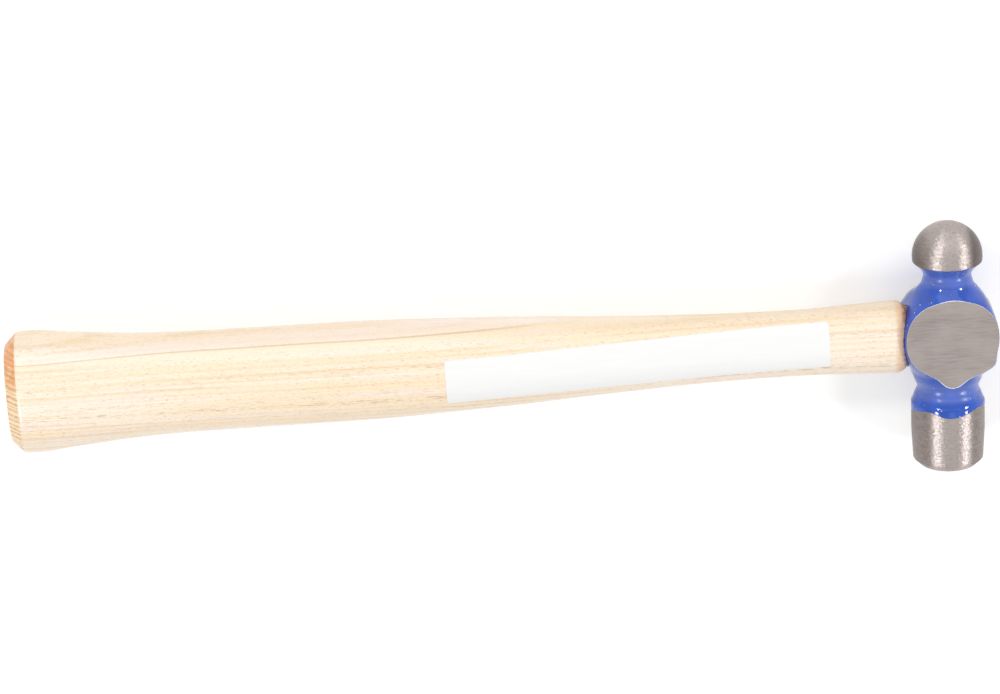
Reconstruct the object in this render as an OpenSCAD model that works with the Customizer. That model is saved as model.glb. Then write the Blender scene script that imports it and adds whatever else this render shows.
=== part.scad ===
// Ball peen hammer, light pattern, lying on its side.
// X runs along the handle (butt at -X, head at +X), Y along the head (ball at +Y,
// striking face at -Y), Z is square to the ground cheeks. Millimetres.

/* [Overall] */
// Length from the butt of the handle to the dressed far side of the head
overall_l = 253.2; // [245:0.1:280]

/* [Head] */
// Handle axis to the top of the ball
ball_reach = 30.2; // [29.6:0.1:32]
// Handle axis to the striking face
poll_reach = 35.6; // [34:0.1:38]
// Diameter of the ball
ball_d = 18; // [17.4:0.1:19]
// Diameter of the neck under the ball
upper_neck_d = 12.2; // [11.6:0.1:12.8]
// Width of the eye body across the handle
eye_body_w = 24.6; // [24:0.1:26]
// Width across the two ground cheeks
cheek_w = 17; // [16.6:0.1:17.4]
// Diameter of the neck above the poll
lower_neck_d = 15.8; // [15:0.1:16.4]
// Diameter of the poll
poll_d = 19; // [18.6:0.1:20]
// Diameter of the poll where its edge bevel starts
poll_end_d = 18.2; // [17.6:0.1:18.6]
// Diameter of the flat of the striking face
face_d = 14.4; // [13:0.1:16]

/* [Eye] */
// Height of the eye along the head at the handle side
eye_h = 16.2; // [14:0.1:17]
// Width of the eye across the cheeks at the handle side
eye_w = 9.6; // [8:0.1:10]
// How much narrower the eye is at its waist
eye_waist = 0.8; // [0:0.1:1.2]
// How much wider the eye is at its far mouth
eye_flare = 0.9; // [0:0.1:1.2]

/* [Handle] */
// Height of the handle at the butt
butt_h = 31.6; // [30:0.1:36]
// Thickness of the handle at the butt
butt_t = 22.2; // [20:0.1:26]
// Height of the handle at the grip
grip_h = 25.8; // [24:0.1:30]
// Thickness of the handle at the grip
grip_t = 20.2; // [18:0.1:24]
// Height of the handle at its slim neck
neck_h = 17.3; // [16.5:0.1:20]
// Thickness of the handle at its slim neck
neck_t = 12.8; // [12:0.1:15]
// Height of the shoulder that seats against the head
shoulder_h = 19; // [18.5:0.1:21]
// Thickness of the shoulder
shoulder_t = 13.8; // [13:0.1:15.5]
// Size of the bevel round the butt
butt_bevel = 3.1; // [1:0.1:4]

/* [Wedges] */
// Thickness of the wooden wedge at its outer end
wood_wedge_t = 2.2; // [1.5:0.1:3]
// Length of the wooden wedge
wood_wedge_l = 17; // [12:0.5:19]
// Thickness of the steel wedge at its outer end
steel_wedge_t = 1.6; // [1:0.1:2]
// Length of the steel wedge
steel_wedge_l = 9; // [6:0.5:11]
// Width of the steel wedge
steel_wedge_w = 9; // [7:0.5:9.5]

/* [Label] */
// Length of the label along the handle
label_l = 98.6; // [60:1:110]
// Height of the label
label_h = 11.8; // [8:0.5:12.5]
// Thickness of the label
label_t = 0.12; // [0.1:0.01:0.3]
// Distance from the head's centre line to the label's near end
label_gap = 31.3; // [25:0.1:60]
// Slope of the label on the handle, in degrees
label_turn = 1.4; // [0:0.1:2]

/* [Hidden] */

// Where the head's centre line meets the handle's axis: the box of the whole
// hammer is centred on X and Y, and stands on Z = 0.
eye_r = eye_body_w / 2;
dressed_x = eye_r - 0.3;   // the far side, after the belt has dressed it
butt_x = dressed_x - overall_l;
eye_at = [overall_l / 2 - dressed_x, (poll_reach - ball_reach) / 2, butt_t / 2];

cheek_z = cheek_w / 2;
ball_r = ball_d / 2;
ball_y = ball_reach - ball_r;
ball_rim_drop = 1.3;   // the ball goes this far past its widest circle
ball_rim_y = ball_y - ball_rim_drop;
upper_neck_r = upper_neck_d / 2;
lower_neck_r = lower_neck_d / 2;
poll_r = poll_d / 2;

// ---- curves --------------------------------------------------------------

// Points of an arc round [cx, cy] from angle a to angle b, in n steps.
function arc(c, r, a, b, n = 8) =
    [for (i = [0:n]) c + r * [cos(a + (b - a) * i / n), sin(a + (b - a) * i / n)]];

// Smooth curve through rows [place, value, ...]: the value in column k at x.
function row_at(t, x, i = 0) = (i >= len(t) - 2 || x <= t[i + 1][0]) ? i : row_at(t, x, i + 1);
function slope(t, i, k) =
    let (a = max(i - 1, 0), b = min(i + 1, len(t) - 1))
    (t[b][k] - t[a][k]) / (t[b][0] - t[a][0]);
function curve(t, x, k = 1) =
    let (i = row_at(t, x), w = t[i + 1][0] - t[i][0], s = (x - t[i][0]) / w)
    (2 * s * s * s - 3 * s * s + 1) * t[i][k] + (s * s * s - 2 * s * s + s) * w * slope(t, i, k)
    + (3 * s * s - 2 * s * s * s) * t[i + 1][k] + (s * s * s - s * s) * w * slope(t, i + 1, k);

// Superellipse with half axes p and q and exponent n: 2 is an ellipse, more is squarer.
function power(v, n) = sign(v) * pow(abs(v), 2 / n);
function oval(p, q, n, sides) =
    [for (i = [0:sides - 1]) let (a = 360 * i / sides) [p * power(cos(a), n), q * power(sin(a), n)]];

// Solid skin over a row of rings, all with the same number of points.
module loft(rings) {
    m = len(rings[0]);
    walls = [for (k = [0:len(rings) - 2], i = [0:m - 1]) let (j = (i + 1) % m)
        each [[k * m + i, (k + 1) * m + j, k * m + j], [k * m + i, (k + 1) * m + i, (k + 1) * m + j]]];
    first = [for (i = [0:m - 1]) i];
    last = [for (i = [m - 1:-1:0]) (len(rings) - 1) * m + i];
    polyhedron(points = [for (r = rings) each r], faces = concat(walls, [first, last]), convexity = 4);
}

// ---- head ----------------------------------------------------------------

// The forging round the eye: [place along Y, half width along X, half width
// along Z before the cheeks are ground, squareness of the section].
eye_body = [
    [-14, lower_neck_r + 0.1, lower_neck_r + 0.1, 2], [-13, 8.2, 8.05, 2], [-12, 8.6, 8.42, 2],
    [-9, 9.8, 9.3, 2.2], [-4.6, 11.6, 11, 4], [0, eye_r, 11.8, 5.2], [4.6, 11.8, 11.6, 5.2],
    [9.4, 10.1, 10.1, 3.4], [12, 8.5, 8.4, 2], [14, 6.9, 6.9, 2],
    [16.4, upper_neck_r + 0.1, upper_neck_r + 0.1, 2]];
eye_body_sides = 56;
eye_body_stops = concat([for (y = [-14:1:16]) y], [16.4]);

module eye_body_forging() {
    loft([for (y = eye_body_stops)
        [for (p = oval(curve(eye_body, y, 1), curve(eye_body, y, 2), curve(eye_body, y, 3),
            eye_body_sides)) [p[0], y, -p[1]]]]);
}

// Half sections of what is round. Each starts inside the eye body, whose ends are
// 0.1 mm fuller than the two necks.
upper_fillet = 3;      // between the neck and the cone under the ball
undercut = 45;         // slope of that cone
undercut_y = 19.7;     // where the cone ends, at the ball's rim
neck_top_y = 16.1;
lower_fillet = 3.2;    // from the groove out to the poll
groove_y = -14;
lower_flare = 36;
bead_r = 1.6;          // the rounded upper edge of the poll
bead_y = -18.5;
land_y = -25.6;        // where the poll's cylinder starts to taper
bevel_y = (poll_end_d - face_d) / 2 - poll_reach;

function upper_neck_outline() =
    let (cone = neck_top_y + upper_fillet * sin(undercut),
        rim = upper_neck_r + upper_fillet * (1 - cos(undercut)) + (undercut_y - cone) / tan(undercut))
    concat([[0, ball_y], [rim + 0.05, ball_y], [rim, undercut_y]],
    arc([upper_neck_r + upper_fillet, neck_top_y], upper_fillet, 180 - undercut, 180),
    [[upper_neck_r, 12], [0, 12]]);

function poll_outline() = concat(
    [[0, -11], [lower_neck_r, -11]],
    arc([lower_neck_r + lower_fillet, groove_y], lower_fillet, 180, 180 + lower_flare, 6),
    arc([poll_r - bead_r, bead_y], bead_r, 40, 0, 5),
    [[poll_r, land_y], [poll_end_d / 2, bevel_y], [face_d / 2, -poll_reach], [0, -poll_reach]]);

module turned(outline) {
    rotate([-90, 0, 0]) rotate_extrude($fn = 96) polygon(outline);
}

module ball() {
    intersection() {
        translate([0, ball_y, 0]) sphere(d = ball_d, $fn = 96);
        translate([-ball_r, ball_rim_y, -ball_r]) cube([ball_d, ball_d, ball_d]);
    }
}

// The eye is an hourglass: it narrows to a waist and flares to the far side.
eye_sides = 40;
eye_reach = eye_r + 2;

module eye_void() {
    rings = [[-eye_reach, 0], [-eye_r + 1, 0], [-2, -eye_waist],
        [eye_r - 1, eye_flare], [eye_reach, eye_flare]];
    loft([for (r = rings)
        [for (p = oval((eye_h + r[1]) / 2, (eye_w + r[1]) / 2, 2.6, eye_sides)) [r[0], p[0], p[1]]]]);
}

// What the grinding belt takes off the two cheeks.
cheek_top_y = 14;

module cheek_grind() {
    depth = 5;
    for (z = [cheek_z, -cheek_z - depth])
        translate([-eye_r - 1, groove_y, z]) cube([eye_body_w + 2, cheek_top_y - groove_y, depth]);
}

// What the belt takes off the far side, once the wedges are in.
dressing_r = 24;
dressing_y = 0.5;
dressing_l = 22;

module dressing() {
    translate([dressed_x - dressing_r, dressing_y, 0]) difference() {
        translate([dressing_r - 4, -dressing_l / 2, -poll_r * 2]) cube([8, dressing_l, poll_r * 4]);
        cylinder(r = dressing_r, h = poll_r * 5, center = true, $fn = 96);
    }
}

module head() {
    color("royalblue") translate(eye_at) difference() {
        union() {
            ball();
            turned(upper_neck_outline());
            turned(poll_outline());
            eye_body_forging();
        }
        cheek_grind();
        dressing();
        eye_void();
    }
}

// ---- handle --------------------------------------------------------------

// Sections of the handle: [distance from the butt, half height, half thickness].
shoulder_at = overall_l - eye_body_w + 1.4;
handle_rows = [
    [0, butt_h / 2, butt_t / 2],
    [8, butt_h / 2, butt_t / 2],
    [17, butt_h / 2 - 1.05, butt_t / 2 - 0.25],
    [37, grip_h / 2 + 0.3, grip_t / 2 + 0.3],
    [62, grip_h / 2, grip_t / 2],
    [94, grip_h / 2 - 0.15, grip_t / 2 - 0.2],
    [115, grip_h / 2 - 0.9, grip_t / 2 - 0.4],
    [130, 11.35, 9],
    [152, 10.1, 7.9],
    [172, neck_h / 2 + 0.5, neck_t / 2 + 0.6],
    [192, neck_h / 2, neck_t / 2],
    [205, neck_h / 2, neck_t / 2],
    [216, neck_h / 2 + 0.4, neck_t / 2 + 0.25],
    [226, shoulder_h / 2, shoulder_t / 2],
    [shoulder_at, shoulder_h / 2, shoulder_t / 2]];
handle_square = 2.3;
handle_sides = 48;
shoulder_round = 4;
shoulder_l = 2.8;          // of the handle that this rounding takes up

// How far the outline has drawn in at distance u from the butt.
function drawn_in(u) =
    u < butt_bevel ? butt_bevel - u :
    u > shoulder_at - shoulder_l ?
        shoulder_round - sqrt(pow(shoulder_round, 2) - pow(u - shoulder_at + shoulder_l, 2)) : 0;

function handle_ring(u, grow = 0) =
    let (d = grow - drawn_in(u))
    [for (p = oval(curve(handle_rows, u, 1) + d, curve(handle_rows, u, 2) + d, handle_square, handle_sides))
        [butt_x + u, p[0], p[1]]];

handle_stops = concat([0, butt_bevel, 8, 12], [for (u = [17:7:223]) u],
    [for (k = [0:4]) shoulder_at - shoulder_l * (1 - k / 4)]);

module handle_blank(grow = 0) {
    loft([for (u = handle_stops) handle_ring(u, grow)]);
}

// A wedge driven in from +X: t thick at its outer end, reaching l into the eye.
wedge_tip = 0.4;
wedge_spare = 1;   // what the dressing takes off a wedge
steel_turn = 35;

module wedge(l, t, w) {
    translate([dressed_x, 0, 0]) rotate([90, 0, 0]) linear_extrude(height = w, center = true)
        polygon([[wedge_spare, t / 2], [wedge_spare, -t / 2], [-l, -wedge_tip / 2], [-l, wedge_tip / 2]]);
}

module wood_wedge_blank() {
    wedge(wood_wedge_l, wood_wedge_t, eye_h + eye_w);
}

module steel_wedge_blank() {
    rotate([steel_turn, 0, 0]) wedge(steel_wedge_l, steel_wedge_t, steel_wedge_w);
}

module handle() {
    color("burlywood") translate(eye_at) difference() {
        union() {
            difference() {
                handle_blank();
                eye_body_forging();
            }
            eye_void();
        }
        dressing();
        wood_wedge_blank();
        steel_wedge_blank();
    }
}

module wood_wedge() {
    color("peru") translate(eye_at) difference() {
        intersection() {
            eye_void();
            wood_wedge_blank();
        }
        dressing();
        steel_wedge_blank();
    }
}

module steel_wedge() {
    color("silver") translate(eye_at) difference() {
        steel_wedge_blank();
        dressing();
    }
}

// ---- label ---------------------------------------------------------------

label_y = -0.2;
label_round = 0.6;

module label_outline() {
    hull() for (x = [-1, 1], y = [-1, 1])
        translate([x * (label_l / 2 - label_round), y * (label_h / 2 - label_round)])
            circle(r = label_round, $fn = 24);
}

module label() {
    color("white") translate(eye_at) intersection() {
        difference() {
            handle_blank(label_t);
            handle_blank();
        }
        translate([-label_gap - label_l / 2, label_y, 0]) rotate([0, 0, label_turn])
            linear_extrude(height = butt_t) label_outline();
    }
}

head();
handle();
wood_wedge();
steel_wedge();
label();
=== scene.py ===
import math

import bmesh
import bpy
from mathutils import Euler, Matrix, Vector


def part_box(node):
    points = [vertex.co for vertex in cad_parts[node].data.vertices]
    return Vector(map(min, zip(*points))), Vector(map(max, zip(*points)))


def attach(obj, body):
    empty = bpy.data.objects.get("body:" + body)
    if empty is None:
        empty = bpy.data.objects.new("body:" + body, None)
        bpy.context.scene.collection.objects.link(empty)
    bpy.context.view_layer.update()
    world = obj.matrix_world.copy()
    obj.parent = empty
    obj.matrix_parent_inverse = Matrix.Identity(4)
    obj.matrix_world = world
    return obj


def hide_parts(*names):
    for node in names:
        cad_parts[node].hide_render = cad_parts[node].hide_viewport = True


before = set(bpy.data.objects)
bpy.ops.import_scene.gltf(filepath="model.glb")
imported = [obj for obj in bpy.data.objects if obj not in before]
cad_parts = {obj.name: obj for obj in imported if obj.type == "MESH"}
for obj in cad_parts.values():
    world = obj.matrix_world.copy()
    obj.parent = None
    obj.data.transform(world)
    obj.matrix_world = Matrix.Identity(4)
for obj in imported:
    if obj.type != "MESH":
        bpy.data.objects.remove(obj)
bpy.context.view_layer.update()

# Everything is modelled in millimetres about EYE, the point where the head's centre
# line meets the handle's axis, and put in its place in the frame at the end.
# X runs along the handle to the head, Y along the head to the ball, Z up from a cheek.
MM = 0.001
FACE_REACH = 35.6         # from the handle's axis to the striking face
DRESSED_X = 12.0          # from the head's centre line to its dressed far side
head_low, head_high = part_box("head")
handle_low, handle_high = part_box("handle")
EYE = Vector((head_high.x - DRESSED_X * MM, head_low.y + FACE_REACH * MM, (head_low.z + head_high.z) / 2))
BALL_REACH = (head_high.y - EYE.y) / MM
POLL_R = (head_high.z - EYE.z) / MM
BUTT_X = (handle_low.x - EYE.x) / MM
BUTT_T = (handle_high.z - handle_low.z) / MM
BUTT_H = (handle_high.y - handle_low.y) / MM


# ---- shapes --------------------------------------------------------------

def arc(centre, radius, start, end, steps):
    """(place, radius) points of an arc in a half section; angles in degrees from the radial way."""
    turns = [math.radians(start + (end - start) * i / steps) for i in range(steps + 1)]
    return [(centre[0] + radius * math.sin(t), centre[1] + radius * math.cos(t)) for t in turns]


def curve(rows, x):
    """The values at x of the smooth curve through rows of (place, value, ...)."""
    last = len(rows) - 2
    i = max(0, min(last, sum(row[0] <= x for row in rows) - 1))
    width = rows[i + 1][0] - rows[i][0]
    s = min(1, max(0, (x - rows[i][0]) / width))

    def slope(j, k):
        a, b = max(j - 1, 0), min(j + 1, last + 1)
        return (rows[b][k] - rows[a][k]) / (rows[b][0] - rows[a][0])

    return [(2 * s**3 - 3 * s**2 + 1) * rows[i][k] + (s**3 - 2 * s**2 + s) * width * slope(i, k)
            + (3 * s**2 - 2 * s**3) * rows[i + 1][k] + (s**3 - s**2) * width * slope(i + 1, k)
            for k in range(1, len(rows[0]))]


def oval_radius(angle, a, b, n):
    """Distance from the middle of a superellipse to its edge: n is 2 for an ellipse, more is squarer."""
    return (abs(math.cos(angle) / a) ** n + abs(math.sin(angle) / b) ** n) ** (-1 / n)


def vertices(geom):
    """The vertices among what an operator made."""
    return [g for g in geom if isinstance(g, bmesh.types.BMVert)]


def loft(rings, sides, along):
    """A closed skin over rings of (place, half width, half depth, squareness), each extruded from the
    one before. The first and last rings are points. Along X a ring is (Y, Z), and along Y it is (X, Z)."""
    across = 1 - along
    bm = bmesh.new()
    bmesh.ops.create_circle(bm, cap_ends=True, cap_tris=True, segments=sides, radius=1)
    bm.verts.ensure_lookup_table()
    middle = [v for v in bm.verts if v.co.length < 0.5]
    ring = [v for v in bm.verts if v.co.length > 0.5]
    angles = {v: math.atan2(v.co.y, v.co.x) for v in ring}

    def put(verts, place, a, b, n):
        for v in verts:
            r = oval_radius(angles[v], a, b, n)
            v.co[along] = place
            v.co[across] = r * math.cos(angles[v])
            v.co.z = r * math.sin(angles[v])

    for v in middle:
        v.co = Vector((0, 0, 0))
        v.co[along] = rings[0][0]
    put(ring, *rings[1])
    edges = [e for e in bm.edges if e.verts[0] in angles and e.verts[1] in angles]
    for row in rings[2:-1]:
        new = bmesh.ops.extrude_edge_only(bm, edges=edges)["geom"]
        ring = vertices(new)
        angles = {v: math.atan2(v.co.z, v.co[across]) for v in ring}
        edges = [g for g in new if isinstance(g, bmesh.types.BMEdge)
                 and g.verts[0] in angles and g.verts[1] in angles]
        put(ring, *row)
    end = Vector((0, 0, 0))
    end[along] = rings[-1][0]
    last = bmesh.ops.extrude_edge_only(bm, edges=edges)["geom"]
    bmesh.ops.pointmerge(bm, verts=vertices(last), merge_co=end)
    bmesh.ops.recalc_face_normals(bm, faces=bm.faces)
    return bm


def solid(name, bm, materials=()):
    """An object in millimetres about EYE."""
    mesh = bpy.data.meshes.new(name)
    bm.to_mesh(mesh)
    bm.free()
    for m in materials:
        mesh.materials.append(m)
    obj = bpy.data.objects.new(name, mesh)
    bpy.context.scene.collection.objects.link(obj)
    return obj


def combine(obj, tool, how):
    """obj with tool cut out of it, or joined to it. Faces keep their material numbers."""
    modifier = obj.modifiers.new(how, "BOOLEAN")
    modifier.operation = how
    modifier.solver = "EXACT"
    modifier.object = tool
    depsgraph = bpy.context.evaluated_depsgraph_get()
    mesh = bpy.data.meshes.new_from_object(obj.evaluated_get(depsgraph), depsgraph=depsgraph)
    obj.modifiers.clear()
    obj.data = mesh
    return obj


def paint_faces(bm, number):
    for f in bm.faces:
        f.material_index = number


def finish_piece(obj, node, flat=-1):
    """Puts a finished shape in its place in the frame, and lets it stand for its CAD node. Faces of
    material number flat are shaded flat."""
    mesh = obj.data
    bm = bmesh.new()
    bm.from_mesh(mesh)
    bmesh.ops.remove_doubles(bm, verts=bm.verts, dist=0.0005)
    bmesh.ops.dissolve_degenerate(bm, edges=bm.edges, dist=0.0005)
    bmesh.ops.scale(bm, verts=bm.verts, vec=(MM, MM, MM))
    bmesh.ops.translate(bm, verts=bm.verts, vec=EYE)
    for f in bm.faces:
        f.smooth = True
    bm.to_mesh(mesh)
    bm.free()
    mesh.set_sharp_from_angle(angle=math.radians(32))
    for polygon in mesh.polygons:
        polygon.use_smooth = polygon.material_index != flat
    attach(obj, "root")
    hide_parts(node)
    return obj


# ---- materials -----------------------------------------------------------

SMOOTH = {"interpolation_type": "SMOOTHSTEP"}
RGBA = {"data_type": "RGBA"}


def colour(hex_code, alpha=1.0):
    """Linear colour of an sRGB hex code."""
    parts = [int(hex_code[i:i + 2], 16) / 255 for i in (1, 3, 5)]
    return tuple(c / 12.92 if c <= 0.04045 else ((c + 0.055) / 1.055) ** 2.4 for c in parts) + (alpha,)


def add(tree, kind, inputs=(), **settings):
    """A shader node with its settings. Its inputs come by name, or in the order in which the node shows
    them, and are values, sockets or nodes. A node stands for the first output that it shows."""
    node = tree.nodes.new("ShaderNode" + kind)
    for key, value in settings.items():
        setattr(node, key, value)
    shown = [socket for socket in node.inputs if socket.enabled]
    for key, value in inputs.items() if isinstance(inputs, dict) else enumerate(inputs):
        socket = shown[key] if isinstance(key, int) else node.inputs[key]
        if isinstance(value, bpy.types.Node):
            value = next(output for output in value.outputs if output.enabled)
        if isinstance(value, bpy.types.NodeSocket):
            tree.links.new(value, socket)
        else:
            socket.default_value = value
    return node


def new_material(name):
    """A new material and its node tree, empty."""
    material = bpy.data.materials.new(name)
    material.use_nodes = True
    material.node_tree.nodes.clear()
    return material, material.node_tree


def in_mm(tree, stretch=(1, 1, 1), turn=(0, 0, 0)):
    """Object coordinates in millimetres about EYE, turned for a pattern and multiplied by stretch, which
    for a noise of scale 1 is how many of its lumps go in a millimetre along X, Y and Z."""
    place = add(tree, "TexCoord").outputs["Object"]
    centred = add(tree, "Mapping", {"Vector": place, "Location": tuple(-EYE / MM), "Scale": (1 / MM,) * 3})
    if stretch == (1, 1, 1) and turn == (0, 0, 0):
        return centred
    return add(tree, "Mapping", {"Vector": centred, "Rotation": turn, "Scale": stretch})


def turned_steel():
    """Carbon steel turned and belt-polished round the head's centre line: fine rings that draw each
    lamp out into a ragged streak along the head, on a warm grey."""
    material, tree = new_material("turned_steel")
    # The rings are drawn coarser than they are, to show.
    rings = add(tree, "TexNoise", {"Vector": in_mm(tree, (0.35, 2.6, 0.35)), "Scale": 1, "Detail": 4,
                                   "Roughness": 0.75})
    patches = add(tree, "TexNoise", {"Vector": in_mm(tree, (0.5, 1.1, 0.5)), "Scale": 1, "Detail": 3,
                                     "Roughness": 0.6})
    grain = add(tree, "TexNoise", {"Vector": in_mm(tree, (1.9, 3.6, 1.9)), "Scale": 1, "Detail": 3,
                                   "Roughness": 0.65})
    ragged = add(tree, "TexNoise", {"Vector": in_mm(tree, (1.0, 2.2, 1.0)), "Scale": 1, "Roughness": 0.6})
    ring = add(tree, "MapRange", (rings, 0.3, 0.7), **SMOOTH)
    tone = add(tree, "Mix", (ring, colour("#857b79"), colour("#a0968f")), **RGBA)
    patch = add(tree, "MapRange", (patches, 0.4, 0.7, 0, 0.5), **SMOOTH)
    tone = add(tree, "Mix", (patch, tone, colour("#746a67")), **RGBA)

    # The ball's flanks are painted darker: painted shade, standing in for the dark surroundings that they
    # would mirror.
    x, y, _ = add(tree, "SeparateXYZ", (in_mm(tree),)).outputs
    off_middle = add(tree, "Math", (add(tree, "Math", (x, 1.5), operation="ADD"),), operation="ABSOLUTE")
    sides = add(tree, "MapRange", (off_middle, 4.5, 7.5, 0, 0.75), **SMOOTH)
    on_ball = add(tree, "MapRange", (y, 15, 19), **SMOOTH)
    painted_flank_shade = add(tree, "Math", (sides, on_ball), operation="MULTIPLY")
    tone = add(tree, "Mix", (painted_flank_shade, tone, colour("#5f5655")), **RGBA)
    # A band along the top of the head is painted lighter: a painted highlight.
    off_top = add(tree, "Math", (add(tree, "Math", (x, 0.5), operation="ADD"),), operation="ABSOLUTE")
    top = add(tree, "MapRange", (off_top, 6.5, 4, 0, 0.8), **SMOOTH)
    tone = add(tree, "Mix", (top, tone, colour("#b0a6a2")), **RGBA)
    pits = add(tree, "MapRange", (grain, 0.5, 0.68, 0, 0.5), **SMOOTH)
    tone = add(tree, "Mix", (pits, tone, colour("#6d6461")), **RGBA)

    relief = add(tree, "Bump", {"Height": patches, "Distance": 0.05 * MM})
    relief = add(tree, "Bump", {"Height": grain, "Distance": 0.03 * MM, "Normal": relief})
    relief = add(tree, "Bump", {"Height": ragged, "Distance": 0.13 * MM, "Normal": relief})
    # The streak runs square to the rings, which is along the head.
    along = add(tree, "CombineXYZ", (0, 1, 0))
    rough = add(tree, "MapRange", (rings, 0.36, 0.66, 0.34, 0.5), **SMOOTH)
    steel = add(tree, "BsdfPrincipled", {"Base Color": tone, "Metallic": 1, "Roughness": rough,
                                         "Anisotropic": 0.85, "Tangent": along, "Normal": relief})
    add(tree, "OutputMaterial", (steel,))
    return material


def ground_steel(name, light, dark, patch):
    """Flats ground on a belt: straight fine scratches along the handle on warm grey steel."""
    material, tree = new_material(name)
    scratches = add(tree, "TexNoise", {"Vector": in_mm(tree, (0.22, 7, 7), (0, 0, math.radians(0.8))),
                                       "Scale": 1, "Roughness": 0.7})
    clouds = add(tree, "TexNoise", {"Vector": in_mm(tree, (0.09, 0.12, 0.12)), "Scale": 1})
    scratch = add(tree, "MapRange", (scratches, 0.32, 0.68), **SMOOTH)
    tone = add(tree, "Mix", (scratch, colour(dark), colour(light)), **RGBA)
    cloud = add(tree, "MapRange", (clouds, 0.35, 0.65, 0, 0.6), **SMOOTH)
    tone = add(tree, "Mix", (cloud, tone, colour(patch)), **RGBA)
    relief = add(tree, "Bump", {"Height": scratches, "Distance": 0.0035 * MM})
    across = add(tree, "CombineXYZ", (0, 1, 0))
    rough = add(tree, "MapRange", (scratches, 0.3, 0.7, 0.38, 0.52), **SMOOTH)
    steel = add(tree, "BsdfPrincipled", {"Base Color": tone, "Metallic": 1, "Roughness": rough,
                                         "Anisotropic": 0.6, "Tangent": across, "Normal": relief})
    add(tree, "OutputMaterial", (steel,))
    return material


def rubbed_edge_highlight():
    """Where the belt has just broken through the enamel: a hairline of bare steel, painted near white as a
    highlight along the enamel's edge.
    """
    material, tree = new_material("rubbed_edge_highlight")
    chips = add(tree, "TexNoise", {"Vector": in_mm(tree), "Scale": 2.5, "Detail": 3})
    chip = add(tree, "MapRange", (chips, 0.35, 0.5), **SMOOTH)
    tone = add(tree, "Mix", (chip, colour("#a9b0cc"), colour("#f0eeec")), **RGBA)
    steel = add(tree, "BsdfPrincipled", {"Base Color": tone, "Metallic": 0.6, "Roughness": 0.3})
    add(tree, "OutputMaterial", (steel,))
    return material


def blue_enamel():
    """Air-dried blue machine enamel, dipped or brushed on a forging: thick, glossy, with a
    slight orange peel, pin-sized dust nibs, and the forging's soft dents under it."""
    material, tree = new_material("blue_enamel")
    place = in_mm(tree)
    peel = add(tree, "TexNoise", {"Vector": place, "Scale": 0.9})
    dents = add(tree, "TexNoise", {"Vector": place, "Scale": 0.28, "Detail": 1, "Roughness": 0.4})
    specks = add(tree, "TexVoronoi", {"Vector": place, "Scale": 0.9})
    speck = add(tree, "MapRange", (specks, 0.2, 0.1), **SMOOTH)
    gusts = add(tree, "TexNoise", {"Vector": place, "Scale": 0.35, "Detail": 1})
    dusty = add(tree, "MapRange", (gusts, 0.55, 0.62), **SMOOTH)
    nib = add(tree, "Math", (speck, dusty), operation="MULTIPLY")
    dent = add(tree, "MapRange", (dents, 0.35, 0.7), **SMOOTH)
    tone = add(tree, "Mix", (dent, colour("#0b48b2"), colour("#1052c2")), **RGBA)

    # Both necks are left rougher and hazier, and their colour is lightened there as a painted reflection.
    # Each neck is where two slopes along Y overlap.
    y = add(tree, "SeparateXYZ", (place,)).outputs["Y"]
    necks = []
    for start, full, fading, end in ((13.4, 15.2, 19, 20.6), (-9.6, -12.6, -15.4, -17)):
        rise = add(tree, "MapRange", (y, start, full), **SMOOTH)
        fall = add(tree, "MapRange", (y, end, fading), **SMOOTH)
        necks.append(add(tree, "Math", (rise, fall), operation="MULTIPLY"))
    haze_and_sheen = add(tree, "Math", necks, operation="MAXIMUM")
    painted_neck_sheen = add(tree, "Math", (haze_and_sheen, 0.22), operation="MULTIPLY")
    tone = add(tree, "Mix", (painted_neck_sheen, tone, colour("#9aa4cc")), **RGBA)
    dust = add(tree, "Math", (nib, 0.75), operation="MULTIPLY")
    tone = add(tree, "Mix", (dust, tone, colour("#e8ecf8")), **RGBA)

    relief = add(tree, "Bump", {"Height": dents, "Distance": 0.12 * MM})
    relief = add(tree, "Bump", {"Height": peel, "Distance": 0.03 * MM, "Normal": relief})
    relief = add(tree, "Bump", {"Height": nib, "Distance": 0.05 * MM, "Normal": relief})
    rough = add(tree, "MapRange", (haze_and_sheen, 0, 1, 0.06, 0.28), **SMOOTH)
    top_rough = add(tree, "MapRange", (haze_and_sheen, 0, 1, 0.03, 0.2), **SMOOTH)
    enamel = add(tree, "BsdfPrincipled", {"Base Color": tone, "Roughness": rough, "IOR": 1.5,
                                          "Coat Weight": 0.2, "Coat Roughness": top_rough, "Normal": relief})
    add(tree, "OutputMaterial", (enamel,))
    return material


def eye_wall():
    """The forged inside of the eye: dark mill scale."""
    material, tree = new_material("eye_wall")
    scale = add(tree, "TexNoise", {"Vector": in_mm(tree), "Scale": 1.2, "Detail": 4})
    tone = add(tree, "Mix", (scale, colour("#2b2826"), colour("#4a4440")), **RGBA)
    steel = add(tree, "BsdfPrincipled", {"Base Color": tone, "Metallic": 0.5, "Roughness": 0.7})
    add(tree, "OutputMaterial", (steel,))
    return material


PITH_OFF = 90             # from the middle of the tree to the handle's axis
YEAR_T = 1.3              # a year's growth
FAN_X, FAN_L = -215, 115  # where the rings start to fan out, and for how far


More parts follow.
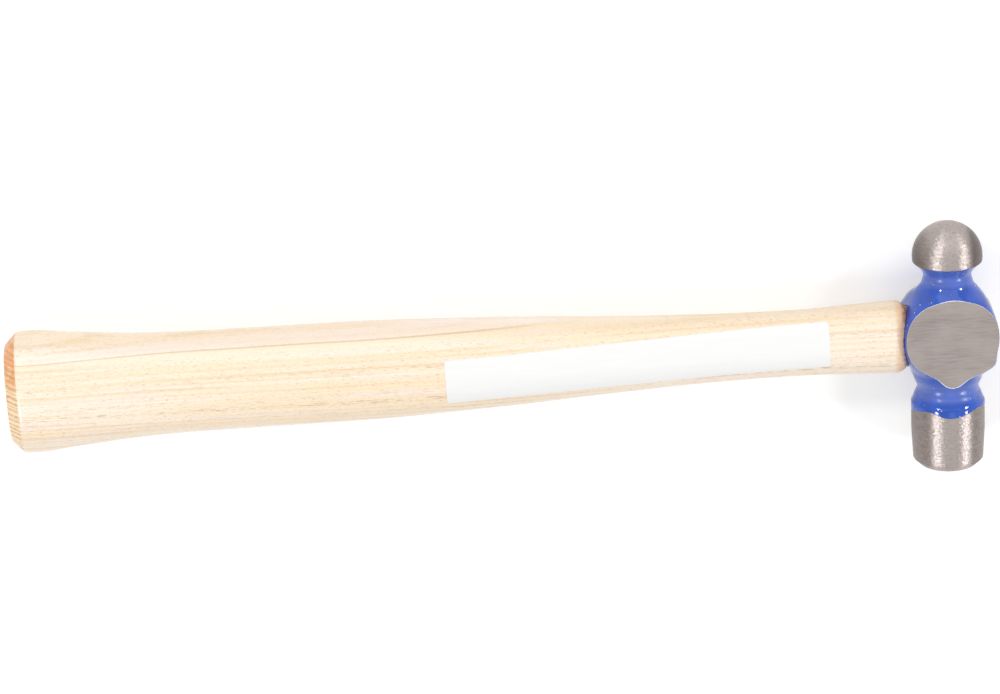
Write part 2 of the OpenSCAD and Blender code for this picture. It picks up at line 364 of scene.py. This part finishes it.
def growth_rings(tree):
    """Growth rings about a far-off pith, so that they stand nearly straight and square to the cheeks, and
    fanning out a little towards the head. Gives how far out a place is, in millimetres, and how far
    through its year, from 0 to 1."""
    x, y, z = add(tree, "SeparateXYZ", (in_mm(tree),)).outputs
    across = add(tree, "Math", (y, PITH_OFF), operation="ADD")
    depth = add(tree, "Math", (z, z), operation="MULTIPLY")
    square = add(tree, "Math", (across, across, depth), operation="MULTIPLY_ADD")
    radius = add(tree, "Math", (square,), operation="SQRT")
    run = add(tree, "Math", (x, FAN_X), operation="SUBTRACT")
    along = add(tree, "Math", (run, FAN_L), operation="MINIMUM")
    slope = add(tree, "Math", (y, -0.001, 0.01075), operation="MULTIPLY_ADD")
    fan = add(tree, "Math", (along, slope), operation="MULTIPLY")
    sway = add(tree, "TexNoise", {"Vector": in_mm(tree, (0.016, 0.05, 0.05)), "Scale": 1, "Detail": 1})
    drift = add(tree, "Math", (sway, 0.7, fan), operation="MULTIPLY_ADD")
    flat = add(tree, "Math", (radius, PITH_OFF + 0.3), operation="SUBTRACT")
    out = add(tree, "Math", (flat, drift), operation="ADD")
    uneven = add(tree, "TexNoise", {"W": out, "Scale": 0.35, "Detail": 1}, noise_dimensions="1D")
    widths = add(tree, "Math", (uneven, 1.6), operation="MULTIPLY")
    years = add(tree, "Math", (out, 1 / YEAR_T, widths), operation="MULTIPLY_ADD")
    return out, add(tree, "Math", (years,), operation="FRACT")


def slow_year_line(tree, tone, out, at, tones):
    """One narrow dark ring, at millimetres out, between a warm band and a pinkish one. It is clearest
    towards the butt."""
    off = add(tree, "Math", (out, at), operation="SUBTRACT")
    for start, full, fading, end, side in ((-2.4, -0.3, -0.1, 0, "warm"), (0.1, 0.3, 1.4, 2.2, "pink")):
        rise = add(tree, "MapRange", (off, start, full), **SMOOTH)
        fall = add(tree, "MapRange", (off, end, fading), **SMOOTH)
        beside = add(tree, "Math", (rise, fall), operation="MULTIPLY")
        half = add(tree, "Math", (beside, 0.5), operation="MULTIPLY")
        tone = add(tree, "Mix", (half, tone, colour(tones[side])), **RGBA)
    x = add(tree, "SeparateXYZ", (in_mm(tree),)).outputs["X"]
    towards_butt = add(tree, "MapRange", (x, -95, -125), **SMOOTH)
    away = add(tree, "Math", (off,), operation="ABSOLUTE")
    narrow = add(tree, "MapRange", (away, 0.2, 0.05, 0, 0.42), **SMOOTH)
    line = add(tree, "Math", (narrow, towards_butt), operation="MULTIPLY")
    return add(tree, "Mix", (line, tone, colour("#c19a70")), **RGBA)


def end_grain(tree, tone, year, tones):
    """The tone with the sawn ends in it: they drink the varnish and turn orange, in patches and most of
    all towards the ball's side, and the rings show there as rows of short dark ticks."""
    y = add(tree, "SeparateXYZ", (in_mm(tree),)).outputs["Y"]
    mottle = add(tree, "TexNoise", {"Vector": in_mm(tree, (0.3, 0.55, 0.55)), "Scale": 1, "Detail": 3,
                                    "Roughness": 0.6})
    side = add(tree, "MapRange", (y, -4, 14, 0, 0.42), **SMOOTH)
    soaked = add(tree, "Math", (side, mottle), operation="ADD")
    dark = add(tree, "MapRange", (soaked, 0.5, 0.95), **SMOOTH)
    end = add(tree, "Mix", (dark, colour(tones["end"]), colour(tones["end_dark"])), **RGBA)
    ticks = add(tree, "TexNoise", {"Vector": in_mm(tree, (0.4, 3.6, 2.4)), "Scale": 1})
    late = add(tree, "MapRange", (year, 0.3, 0.85), **SMOOTH)
    broken = add(tree, "MapRange", (ticks, 0.4, 0.6, 0.2, 0.85), **SMOOTH)
    marks = add(tree, "Math", (late, broken), operation="MULTIPLY")
    end = add(tree, "Mix", (marks, end, colour(tones["line_dark"])), **RGBA)
    facing = add(tree, "SeparateXYZ", (add(tree, "NewGeometry").outputs["Normal"],)).outputs["X"]
    lengthwise = add(tree, "Math", (facing,), operation="ABSOLUTE")
    sawn = add(tree, "MapRange", (lengthwise, 0.3, 0.6), **SMOOTH)
    share = add(tree, "Math", (sawn, 0.85), operation="MULTIPLY")
    return add(tree, "Mix", (share, tone, end), **RGBA)


def varnished_wood(name, tones, pore_rows=(), slow_year=None, shoulder_tone=None):
    """Hardwood cut clean, sanded and thinly varnished: straight growth rings, each ending in a darker
    line; wider warm and pinkish bands; dashes of open pores; and browner end grain. pore_rows has the
    places and strengths of the most open-pored rings, slow_year is the place of one dark narrow ring,
    and shoulder_tone is the tone of a warmer, darker band next to the head. Places are in millimetres out."""
    material, tree = new_material(name)
    out, year = growth_rings(tree)
    faint = add(tree, "TexNoise", {"Vector": in_mm(tree, (0.012, 0.45, 0.45)), "Scale": 1})
    streaks = add(tree, "TexNoise", {"Vector": in_mm(tree, (0.04, 3.4, 3.4)), "Scale": 1, "Detail": 4,
                                     "Roughness": 0.65})
    broad = add(tree, "TexNoise", {"Vector": in_mm(tree, (0.005, 0.2, 0.2)), "Scale": 1})
    blush = add(tree, "TexNoise", {"Vector": in_mm(tree, (0.012, 0.26, 0.26)), "Scale": 1.7})
    dashes = add(tree, "TexNoise", {"Vector": in_mm(tree, (0.3, 3.2, 3.2)), "Scale": 1, "Roughness": 0.6})
    flecks = add(tree, "TexNoise", {"Vector": in_mm(tree, (0.9, 3.6, 3.6)), "Scale": 1, "Detail": 3,
                                    "Roughness": 0.7})

    growing = add(tree, "MapRange", (year, 0.4, 0.88), **SMOOTH)
    stopping = add(tree, "MapRange", (year, 1, 0.93), **SMOOTH)
    late = add(tree, "Math", (growing, stopping), operation="MULTIPLY")
    clear = add(tree, "MapRange", (faint, 0.35, 0.68, 0.15, 0.85), **SMOOTH)
    late = add(tree, "Math", (late, clear), operation="MULTIPLY")
    open_rows = add(tree, "MapRange", (faint, 0.4, 0.75, 0, 0.25), **SMOOTH)
    for at, strength in pore_rows:
        off = add(tree, "Math", (add(tree, "Math", (out, at), operation="SUBTRACT"),), operation="ABSOLUTE")
        row = add(tree, "MapRange", (off, 0.7, 0.2, 0, strength), **SMOOTH)
        open_rows = add(tree, "Math", (open_rows, row), operation="MAXIMUM")
    dash = add(tree, "MapRange", (dashes, 0.52, 0.64), **SMOOTH)
    pore = add(tree, "Math", (dash, open_rows), operation="MULTIPLY")

    wide = add(tree, "MapRange", (broad, 0.4, 0.62), **SMOOTH)
    tone = add(tree, "Mix", (wide, colour(tones["pale"]), colour(tones["warm"])), **RGBA)
    pinkish = add(tree, "MapRange", (blush, 0.5, 0.68, 0, 0.7), **SMOOTH)
    tone = add(tree, "Mix", (pinkish, tone, colour(tones["pink"])), **RGBA)
    tone = add(tree, "Mix", (late, tone, colour(tones["line"])), **RGBA)
    streak = add(tree, "MapRange", (streaks, 0.42, 0.75, 0, 0.35), **SMOOTH)
    tone = add(tree, "Mix", (streak, tone, colour(tones["line"])), **RGBA)
    fleck = add(tree, "MapRange", (flecks, 0.52, 0.7, 0, 0.4), **SMOOTH)
    tone = add(tree, "Mix", (fleck, tone, colour(tones["line_dark"])), **RGBA)
    pore_share = add(tree, "Math", (pore, 0.55), operation="MULTIPLY")
    tone = add(tree, "Mix", (pore_share, tone, colour(tones["pore"])), **RGBA)
    if slow_year is not None:
        tone = slow_year_line(tree, tone, out, slow_year, tones)
    if shoulder_tone:
        # Tints the wood a warmer, darker tone over the last millimetre and a half before the head.
        x = add(tree, "SeparateXYZ", (in_mm(tree),)).outputs["X"]
        near_shoulder = add(tree, "MapRange", (x, -14.6, -13.2, 0, 0.6), **SMOOTH)
        tone = add(tree, "Mix", (near_shoulder, tone, colour(shoulder_tone)), **RGBA)
    tone = end_grain(tree, tone, year, tones)

    relief = add(tree, "Bump", {"Height": streaks, "Distance": 0.015 * MM})
    relief = add(tree, "Bump", {"Height": pore, "Distance": 0.03 * MM, "Normal": relief})
    wood = add(tree, "BsdfPrincipled", {"Base Color": tone, "Roughness": 0.42, "IOR": 1.5, "Normal": relief,
                                        "Coat Weight": 0.3, "Coat Roughness": 0.16})
    add(tree, "OutputMaterial", (wood,))
    return material


def varnished_ash():
    """Pale ash under clear varnish: nearly white wood with tan lines, four rows of open pores and a warmer,
    darker band at the shoulder."""
    tones = {"pale": "#fef0de", "warm": "#fce8ca", "pink": "#fdece2", "line": "#f2d7b0",
             "line_dark": "#b8783a", "pore": "#ae907c", "end": "#fbe0b4", "end_dark": "#ea973c"}
    pore_rows = ((-3.4, 1.0), (-1.3, 0.5), (-6.4, 0.35), (4.4, 0.5))
    return varnished_wood("varnished_ash", tones, pore_rows, slow_year=10.8, shoulder_tone="#f4c08a")


def varnished_beech():
    """A beech wedge driven, cut flush and varnished over: browner wood than the handle's, on its end."""
    tones = {"pale": "#dcb98d", "warm": "#cfa677", "pink": "#d8b090", "line": "#b98a5a",
             "line_dark": "#8f6238", "pore": "#8a6a4c", "end": "#cda06c", "end_dark": "#b07f4c"}
    return varnished_wood("varnished_beech", tones)


def mild_steel():
    """Sheared mild steel strip, struck and ground flush: dull grey with random scratches."""
    material, tree = new_material("mild_steel")
    scratches = add(tree, "TexNoise", {"Vector": in_mm(tree, (1, 2.5, 0.6)), "Scale": 1.4, "Detail": 4,
                                       "Roughness": 0.7})
    tone = add(tree, "Mix", (scratches, colour("#8b8682"), colour("#b9b4af")), **RGBA)
    relief = add(tree, "Bump", {"Height": scratches, "Distance": 0.02 * MM})
    steel = add(tree, "BsdfPrincipled", {"Base Color": tone, "Metallic": 1, "Roughness": 0.42,
                                         "Normal": relief})
    add(tree, "OutputMaterial", (steel,))
    return material


def coated_paper():
    """Coated white sticker paper: smooth, faintly glossy, with the wood's grain just telling through."""
    material, tree = new_material("coated_paper")
    grain = add(tree, "TexNoise", {"Vector": in_mm(tree, (0.04, 0.9, 0.9)), "Scale": 1})
    tone = add(tree, "Mix", (grain, colour("#f1f0ef"), colour("#f6f6f5")), **RGBA)
    relief = add(tree, "Bump", {"Height": grain, "Distance": 0.03 * MM})
    paper = add(tree, "BsdfPrincipled", {"Base Color": tone, "Roughness": 0.34, "IOR": 1.5, "Normal": relief,
                                         "Coat Weight": 0.2, "Coat Roughness": 0.12})
    add(tree, "OutputMaterial", (paper,))
    return material


# ---- head ----------------------------------------------------------------

BALL_R = 9.0
BALL_Y = BALL_REACH - BALL_R
RIM_Y = 19.65             # the ball's lower rim, where the enamel starts
ENAMEL_T = 0.06
CHEEK_Z = 8.5             # from the handle's axis to each ground flat
CHEEK_REACH = 13.6        # no flat reaches further along the head than this
HAIRLINE = 0.08           # how high a rim of enamel the belt breaks through
PAINT_Y = -19.35          # where the enamel ends on the poll, on the average
PAINT_WANDER = 1.05       # the enamel that its wavy edge pulls about; of the steel below, 3 times as much
BULGE_Y, BULGE_L, BULGE = -7.4, 2.6, 2.0    # the forging is fuller at its far side, by the lower neck
BEAD_Y, BEAD_R = -18.5, 1.6                 # the poll's rounded upper edge
LAND_Y, POLL_END_R, FACE_R = -25.6, 9.1, 7.2
BEVEL_Y = POLL_END_R - FACE_R - FACE_REACH
DRESSED_R = 24.0          # radius of the shallow hollow that the belt leaves on the far side
DRESSED_Y, DRESSED_HALF = 0.5, 11.0         # its middle, and half its height along the head
SEAT_GAP = 0.06           # between the shoulder and the enamel
TENON_GAP = 0.04          # between the tenon and the eye's wall

# Sections from the ball's underside to the poll: (Y, half width in X, half width in Z before the
# cheeks are ground, squareness).
BODY = [
    (-17.47, 9.126, 9.126, 2), (-15.88, 8.5, 8.5, 2), (-15, 8.06, 8.06, 2), (-14, 7.9, 7.9, 2),
    (-13, 8.12, 8.0, 2), (-12, 8.6, 8.42, 2), (-9, 9.8, 9.3, 2.2), (-4.6, 11.6, 11, 4),
    (0, 12.3, 11.8, 5.2), (4.6, 11.8, 11.6, 5.2), (9.4, 10.0, 9.95, 3.4), (12, 8.2, 8.15, 2),
    (13.9, 6.7, 6.75, 2), (15, 6.34, 6.34, 2), (16, 6.1, 6.1, 2), (17, 6.24, 6.24, 2),
    (18.2, 6.98, 6.98, 2)]
SIDES = 160
ENAMEL, BARE, CHEEK, EDGE, WALL, DRESSED = range(6)


def spread(start, end, step):
    """Places from start to end, evenly about a step apart."""
    count = max(1, round(abs(end - start) / step))
    return [start + (end - start) * i / count for i in range(count + 1)]


def poll_radius(y):
    """Radius of the poll between its rounded upper edge and the start of its taper."""
    if y <= BEAD_Y:
        return POLL_R
    return POLL_R - BEAD_R + math.sqrt(max(0, BEAD_R ** 2 - (y - BEAD_Y) ** 2))


def head_rings():
    """Rings of the loft from the top of the ball to the striking face."""
    top = arc((BALL_Y, 0), BALL_R, 87, -8, 26)
    rim = arc((RIM_Y + 0.45, 8.45), 0.45, 0, -50, 3)
    rings = [(BALL_REACH, 0, 0, 2)] + [(y, r, r, 2) for y, r in top + rim + [(RIM_Y - 0.35, 8.08)]]
    rings += [(y, *curve(BODY, y)) for y in spread(BODY[-1][0], BODY[0][0], 0.38)]
    rings += [(y, poll_radius(y), poll_radius(y), 2) for y in spread(-17.7, PAINT_Y, 0.15)]
    rings += [(y, POLL_R, POLL_R, 2) for y in [PAINT_Y - 0.12, PAINT_Y - 0.3] + spread(-20.2, LAND_Y, 0.6)]
    taper = spread(LAND_Y, BEVEL_Y + 0.3, 0.7)[1:]
    slope = (POLL_R - POLL_END_R) / (LAND_Y - BEVEL_Y)
    rings += [(y, POLL_R - (LAND_Y - y) * slope, POLL_R - (LAND_Y - y) * slope, 2) for y in taper]
    edge = [(BEVEL_Y, POLL_END_R - 0.02), (BEVEL_Y - 0.25, POLL_END_R - 0.2),
            (-FACE_REACH + 0.25, FACE_R + 0.25), (-FACE_REACH + 0.05, FACE_R - 0.05),
            (-FACE_REACH, FACE_R - 0.4), (-FACE_REACH, FACE_R / 2)]
    rings += [(y, r, r, 2) for y, r in edge]
    return rings + [(-FACE_REACH, 0, 0, 2)]


def enamel_edge(angle):
    """How far the enamel's lower edge wanders along Y, at an angle from +Z towards +X."""
    return -0.75 * math.cos(4 * angle) + 0.25 * math.sin(angle) + 0.1 * math.sin(9 * angle + 1)


def head_forging():
    """The whole head before it is ground, with its enamel standing a little proud of the bare steel."""
    bm = loft(head_rings(), SIDES, 1)
    for f in bm.faces:
        y = f.calc_center_median().y
        f.material_index = ENAMEL if PAINT_Y < y < RIM_Y else BARE
    # The bulge comes in from the middle of the head up to its upper cheek.
    for v in bm.verts:
        near = math.exp(-((v.co.y - BULGE_Y) / BULGE_L) ** 2) * min(1, max(0, (v.co.z - 2) / 6))
        v.co.x += BULGE * near * min(1, max(0, v.co.x / 5))
    bm.normal_update()
    painted = [v for v in bm.verts if all(f.material_index == ENAMEL for f in v.link_faces)]
    for v in painted:
        v.co += v.normal * ENAMEL_T
    for v in bm.verts:
        near = 1 - abs(v.co.y - PAINT_Y) / (PAINT_WANDER if v.co.y > PAINT_Y else 3 * PAINT_WANDER)
        if near > 0:
            old = poll_radius(v.co.y)
            v.co.y += near * enamel_edge(math.atan2(v.co.x, v.co.z))
            keep = poll_radius(v.co.y) / old
            v.co.x *= keep
            v.co.z *= keep
    return bm


def grind_cheeks(bm):
    """Cuts both sides of the eye body flat, leaving a hairline of rubbed steel round each flat."""
    for side in (1, -1):
        for z in (CHEEK_Z - HAIRLINE, CHEEK_Z):
            body = [f for f in bm.faces if abs(f.calc_center_median().y) < CHEEK_REACH]
            around = {v for f in body for v in f.verts} | {e for f in body for e in f.edges}
            bmesh.ops.bisect_plane(bm, geom=body + list(around), dist=1e-5, plane_co=(0, 0, side * z),
                                   plane_no=(0, 0, side), clear_outer=(z == CHEEK_Z))
        rim = [e for e in bm.edges if e.is_boundary]
        for f in bmesh.ops.contextual_create(bm, geom=rim)["faces"]:
            f.material_index = CHEEK
    for f in bm.faces:
        middle = f.calc_center_median()
        if f.material_index == ENAMEL and abs(middle.z) > CHEEK_Z - HAIRLINE and abs(middle.y) < CHEEK_REACH:
            f.material_index = EDGE
    bmesh.ops.recalc_face_normals(bm, faces=bm.faces)


# The eye's sections from the handle's side to the far side: (X, half height along Y, half width along Z).
EYE_SQUARE = 2.6
EYE_ROWS = [(-14.3, 8.1, 4.8), (-11.3, 8.1, 4.8), (-2, 7.7, 4.4), (11, 8.55, 5.25), (14, 8.55, 5.25)]


def eye_shape(shrink=0.0):
    """What the eye's hourglass hole takes out of the head, or the tenon that fills it."""
    rings = [(x, h - shrink, w - shrink, EYE_SQUARE) for x, h, w in EYE_ROWS]
    return loft([(rings[0][0], 0, 0, 2)] + rings + [(rings[-1][0], 0, 0, 2)], 96, 0)


def dressing_block():
    """What the belt takes off the far side: a block with a hollow round face, wider than the head."""
    half_width, depth = 15, 5
    bm = bmesh.new()
    bmesh.ops.create_grid(bm, x_segments=44, y_segments=1, size=1)
    for v in bm.verts:
        y = v.co.x * DRESSED_HALF
        hollow = DRESSED_R - math.sqrt(DRESSED_R ** 2 - y ** 2)
        v.co = Vector((DRESSED_X - hollow, y + DRESSED_Y, v.co.y * half_width))
    for v in vertices(bmesh.ops.extrude_face_region(bm, geom=bm.faces[:])["geom"]):
        v.co.x = DRESSED_X + depth
    bmesh.ops.recalc_face_normals(bm, faces=bm.faces)
    paint_faces(bm, DRESSED)
    return bm


def make_head(finishes):
    """The head from its finishes, which go by the material numbers above."""
    materials = [finishes[number] for number in sorted(finishes)]
    bm = head_forging()
    grind_cheeks(bm)
    head = solid("head_forging", bm, materials)
    block = solid("dressing", dressing_block(), materials)
    combine(head, block, "DIFFERENCE")
    hole = eye_shape()
    paint_faces(hole, WALL)
    eye = solid("eye", hole, materials)
    combine(head, eye, "DIFFERENCE")
    for tool in (block, eye):
        bpy.data.objects.remove(tool)
    return finish_piece(head, "head", CHEEK)


# ---- handle --------------------------------------------------------------

# Sections from the butt to the head: (distance from the butt, half height in Y, half thickness in Z).
SHOULDER = 230.0
HANDLE = [
    (0, BUTT_H / 2, BUTT_T / 2), (8, BUTT_H / 2, BUTT_T / 2), (17, BUTT_H / 2 - 1.05, BUTT_T / 2 - 0.25),
    (37, 13.2, 10.4), (62, 12.9, 10.1), (94, 12.75, 9.9), (115, 12.0, 9.7), (130, 11.35, 9), (152, 10.1, 7.9),
    (172, 9.15, 7), (192, 8.65, 6.4), (205, 8.65, 6.4), (216, 9.05, 6.65), (226, 9.5, 6.9),
    (SHOULDER, 9.5, 6.9)]
HANDLE_SQUARE = 2.3
SHOULDER_R = 4.0          # radius of the eased shoulder
SHOULDER_L = 2.8          # and how much of the handle it takes up
# The butt's bevel with its corners sanded off: (distance from the butt, how far in).
BUTT_EDGE = [(0, 3.5), (0.08, 3.2), (0.3, 2.85), (2.7, 0.42), (3.15, 0.14), (3.9, 0.02), (5, 0)]


def handle_size(u, drawn_in=0.0):
    """Half height, half thickness and squareness at u from the butt, drawn in all round."""
    height, thick = curve(HANDLE, u)
    return min(height, BUTT_H / 2) - drawn_in, min(thick, BUTT_T / 2) - drawn_in, HANDLE_SQUARE


def handle_blank():
    """The handle as turned, with its bevelled butt and its eased shoulder, and no tenon yet."""
    rings = [(BUTT_X, 0, 0, 2), (BUTT_X, 3, 3, 2), (BUTT_X, 8, 4, 2)]
    rings += [(BUTT_X + u, *handle_size(u, inset)) for u, inset in BUTT_EDGE]
    rings += [(BUTT_X + u, *handle_size(u)) for u in spread(7, SHOULDER - SHOULDER_L, 2.0)]
    for run in spread(0, SHOULDER_L, 0.35)[1:]:
        inset = SHOULDER_R - math.sqrt(SHOULDER_R ** 2 - run ** 2)
        u = SHOULDER - SHOULDER_L + run
        rings.append((BUTT_X + u, *handle_size(u, inset)))
    return loft(rings + [(BUTT_X + SHOULDER, 0, 0, 2)], 112, 0)


def make_handle(wood):
    """The blank, cut to seat on the head, with its tenon, flush at the far side, and the wedges' slots."""
    handle = solid("handle_turned", handle_blank(), [wood])
    gap = ENAMEL_T + SEAT_GAP
    seat = [(y, a and a + gap, b and b + gap, n) for y, a, b, n in head_rings()]
    head = solid("seat", loft(seat, SIDES, 1))
    tenon = solid("tenon", eye_shape(TENON_GAP))
    block = solid("dressing", dressing_block())
    combine(handle, head, "DIFFERENCE")
    combine(handle, tenon, "UNION")
    combine(handle, block, "DIFFERENCE")
    for wedge in ("wood_wedge", "steel_wedge"):
        slot = solid("slot", wedge_shape(wedge))
        combine(handle, slot, "DIFFERENCE")
        bpy.data.objects.remove(slot)
    for tool in (head, tenon, block):
        bpy.data.objects.remove(tool)
    # The cuts bring other faces' material numbers with them.
    for f in handle.data.polygons:
        f.material_index = 0
    handle.data.materials.clear()
    handle.data.materials.append(wood)
    return finish_piece(handle, "handle")


def wedge_shape(node):
    """A CAD wedge's own shape, merged, in millimetres about EYE, and run on out of the eye."""
    bm = bmesh.new()
    bm.from_mesh(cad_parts[node].data)
    bmesh.ops.translate(bm, verts=bm.verts, vec=-EYE)
    bmesh.ops.scale(bm, verts=bm.verts, vec=(1 / MM,) * 3)
    bmesh.ops.remove_doubles(bm, verts=bm.verts, dist=0.001)
    bm.normal_update()
    outer = [f for f in bm.faces if f.normal.x > 0.7]
    end = bmesh.ops.extrude_face_region(bm, geom=outer)["geom"]
    bmesh.ops.translate(bm, verts=vertices(end), vec=(1, 0, 0))
    bmesh.ops.delete(bm, geom=[f for f in outer if f.is_valid], context="FACES_ONLY")
    return bm


# ---- label ---------------------------------------------------------------

LABEL_L, LABEL_H, LABEL_T = 98.6, 11.8, 0.12
LABEL_GAP = 31.3          # from EYE to the label's near end
LABEL_Y = -0.2            # how far off the handle's axis its middle lies
LABEL_TURN = 1.4          # degrees
LABEL_CORNER_R = 0.7
GLUE_T = 0.005            # keeps its back off the wood


def top_of_handle(x, y):
    """Z of the handle's upper side over a point in the plane of its axis."""
    height, thick, square = handle_size(x - BUTT_X)
    return thick * max(0, 1 - abs(y / height) ** square) ** (1 / square)


def make_label(paper):
    """A rounded oblong, cut into a mesh, laid on the handle and given its thickness."""
    bm = bmesh.new()
    bmesh.ops.create_grid(bm, x_segments=1, y_segments=1, size=0.5)
    bmesh.ops.scale(bm, verts=bm.verts, vec=(LABEL_L, LABEL_H, 1))
    bmesh.ops.bevel(bm, geom=bm.verts[:], offset=LABEL_CORNER_R, segments=5, profile=0.5,
                    affect="VERTICES", material=-1)
    for axis, size, step in ((0, LABEL_L, 1.6), (1, LABEL_H, 0.7)):
        for place in spread(-size / 2, size / 2, step)[1:-1]:
            across = Vector((0, 0, 0))
            across[axis] = 1
            bmesh.ops.bisect_plane(bm, geom=bm.verts[:] + bm.edges[:] + bm.faces[:], dist=1e-5,
                                   plane_co=across * place, plane_no=across)
    turn = Matrix.Rotation(math.radians(LABEL_TURN), 3, "Z")
    bmesh.ops.rotate(bm, verts=bm.verts, cent=(0, 0, 0), matrix=turn)
    bmesh.ops.translate(bm, verts=bm.verts, vec=(-LABEL_GAP - LABEL_L / 2, LABEL_Y, 0))
    for v in bm.verts:
        v.co.z = top_of_handle(v.co.x, v.co.y) + GLUE_T
    raised = bmesh.ops.extrude_face_region(bm, geom=bm.faces[:])["geom"]
    bmesh.ops.translate(bm, verts=vertices(raised), vec=(0, 0, LABEL_T))
    bmesh.ops.recalc_face_normals(bm, faces=bm.faces)
    return finish_piece(solid("paper_label", bm, [paper]), "label")


# ---- studio --------------------------------------------------------------

# Lengths here are in metres, and directions are from EYE.
WORLD_FILL = 0.345        # light from all round, where white is 1
FLOOR_HALF = 4.0          # half the floor's side
FLOOR_WHITE = 0.78        # how much of the light the floor's paper gives back
LAMPLIT = (0.35, 1.3)     # how far from the hammer the lamps' light starts and ends to fall off
FLOOR_LIFT = 0.42         # what is added to the floor where it is lamplit, to show white
FLOOR_FAR_LIFT = 0.8      # and what is added out past that
CAMERA_FROM_EYE = (-0.1438, 0.3093, 0.8384)
CAMERA_TURN = (-19.880, -2.958, -2.795)    # degrees
CAMERA_LENS = 125.5       # millimetres, on a sensor 36 wide


def make_camera():
    """A long lens above the ball's side of the hammer, with the butt at the left and the ball at the top."""
    data = bpy.data.cameras.new("camera")
    data.lens = CAMERA_LENS
    data.sensor_width = 36
    camera = bpy.data.objects.new("camera", data)
    camera.location = EYE + Vector(CAMERA_FROM_EYE)
    camera.rotation_euler = Euler([math.radians(a) for a in CAMERA_TURN], "XYZ")
    bpy.context.scene.collection.objects.link(camera)
    bpy.context.scene.camera = camera


def lamp(name, way, distance, size, radiance):
    """A soft box of that radiance, as seen from the head, facing it: size is across and along Y."""
    data = bpy.data.lights.new(name, "AREA")
    data.shape = "RECTANGLE"
    data.size, data.size_y = size
    data.energy = radiance * math.pi * size[0] * size[1]
    light = bpy.data.objects.new(name, data)
    way = Vector(way).normalized()
    light.location = EYE + way * distance
    across = Vector((0, 1, 0)).cross(way).normalized()
    light.rotation_euler = Matrix((across, way.cross(across), way)).transposed().to_euler()
    light.visible_camera = False
    bpy.context.scene.collection.objects.link(light)


def background_ray(tree):
    """1 for the rays that see the background: from the camera, off gloss and through glass."""
    path = add(tree, "LightPath").outputs
    seen = add(tree, "Math", (path["Is Camera Ray"], path["Is Glossy Ray"]), operation="ADD")
    return add(tree, "Math", (seen, path["Is Transmission Ray"]), operation="ADD", use_clamp=True)


def make_world():
    """White to look at, and a dimmer light all round the hammer."""
    world = bpy.data.worlds.new("studio")
    world.use_nodes = True
    tree = world.node_tree
    tree.nodes.clear()
    strength = add(tree, "Math", (background_ray(tree), 1 - WORLD_FILL, WORLD_FILL), operation="MULTIPLY_ADD")
    sky = add(tree, "Background", {"Color": (1, 1, 1, 1), "Strength": strength})
    add(tree, "OutputWorld", (sky,))
    bpy.context.scene.world = world


def make_lamps():
    """Two small lamps and two strips, for the streaks and spots on the head, and two broad soft ones."""
    lamp("left_lamp", (-0.52, 0.6, 0.6), 1.0, (0.135, 0.135), 34)
    lamp("right_lamp", (0.72, 0.47, 0.5), 1.0, (0.135, 0.135), 36)
    lamp("left_strip", (-0.66, -0.342, 0.67), 1.0, (0.13, 0.36), 20)
    lamp("right_strip", (0.71, -0.342, 0.615), 1.0, (0.13, 0.36), 20)
    lamp("overhead", (0.05, -0.342, 0.939), 1.3, (0.4, 0.5), 0.62)
    lamp("back_fill", (-0.05, 0.85, 0.53), 1.5, (1.8, 1.1), 0.95)


def make_floor():
    """White paper that keeps the hammer's shadow."""
    bm = bmesh.new()
    bmesh.ops.create_grid(bm, x_segments=1, y_segments=1, size=FLOOR_HALF)
    material, tree = new_material("white_paper_floor")
    paper = add(tree, "BsdfDiffuse", {"Color": (FLOOR_WHITE, FLOOR_WHITE, FLOOR_WHITE, 1)})
    away = add(tree, "VectorMath", (add(tree, "TexCoord").outputs["Object"],), operation="LENGTH")
    lift = add(tree, "MapRange", (away, *LAMPLIT, FLOOR_LIFT, FLOOR_FAR_LIFT), **SMOOTH)
    shown = add(tree, "Math", (background_ray(tree), lift), operation="MULTIPLY")
    glow = add(tree, "Emission", {"Color": (1, 1, 1, 1), "Strength": shown})
    add(tree, "OutputMaterial", (add(tree, "AddShader", (paper, glow)),))
    solid("floor", bm, [material])


scene = bpy.context.scene
scene.view_settings.view_transform = "Standard"
make_camera()
make_world()
make_lamps()
make_floor()

make_head({
    ENAMEL: blue_enamel(),
    BARE: turned_steel(),
    CHEEK: ground_steel("cheek_steel", light="#a79e9a", dark="#8e8582", patch="#aaa09c"),
    EDGE: rubbed_edge_highlight(),
    WALL: eye_wall(),
    DRESSED: ground_steel("dressed_steel", light="#c2bab5", dark="#8c827d", patch="#a39995")})
make_handle(varnished_ash())
make_label(coated_paper())
for node, material in (("wood_wedge", varnished_beech()), ("steel_wedge", mild_steel())):
    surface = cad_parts[node].data.materials
    surface.clear()
    surface.append(material)
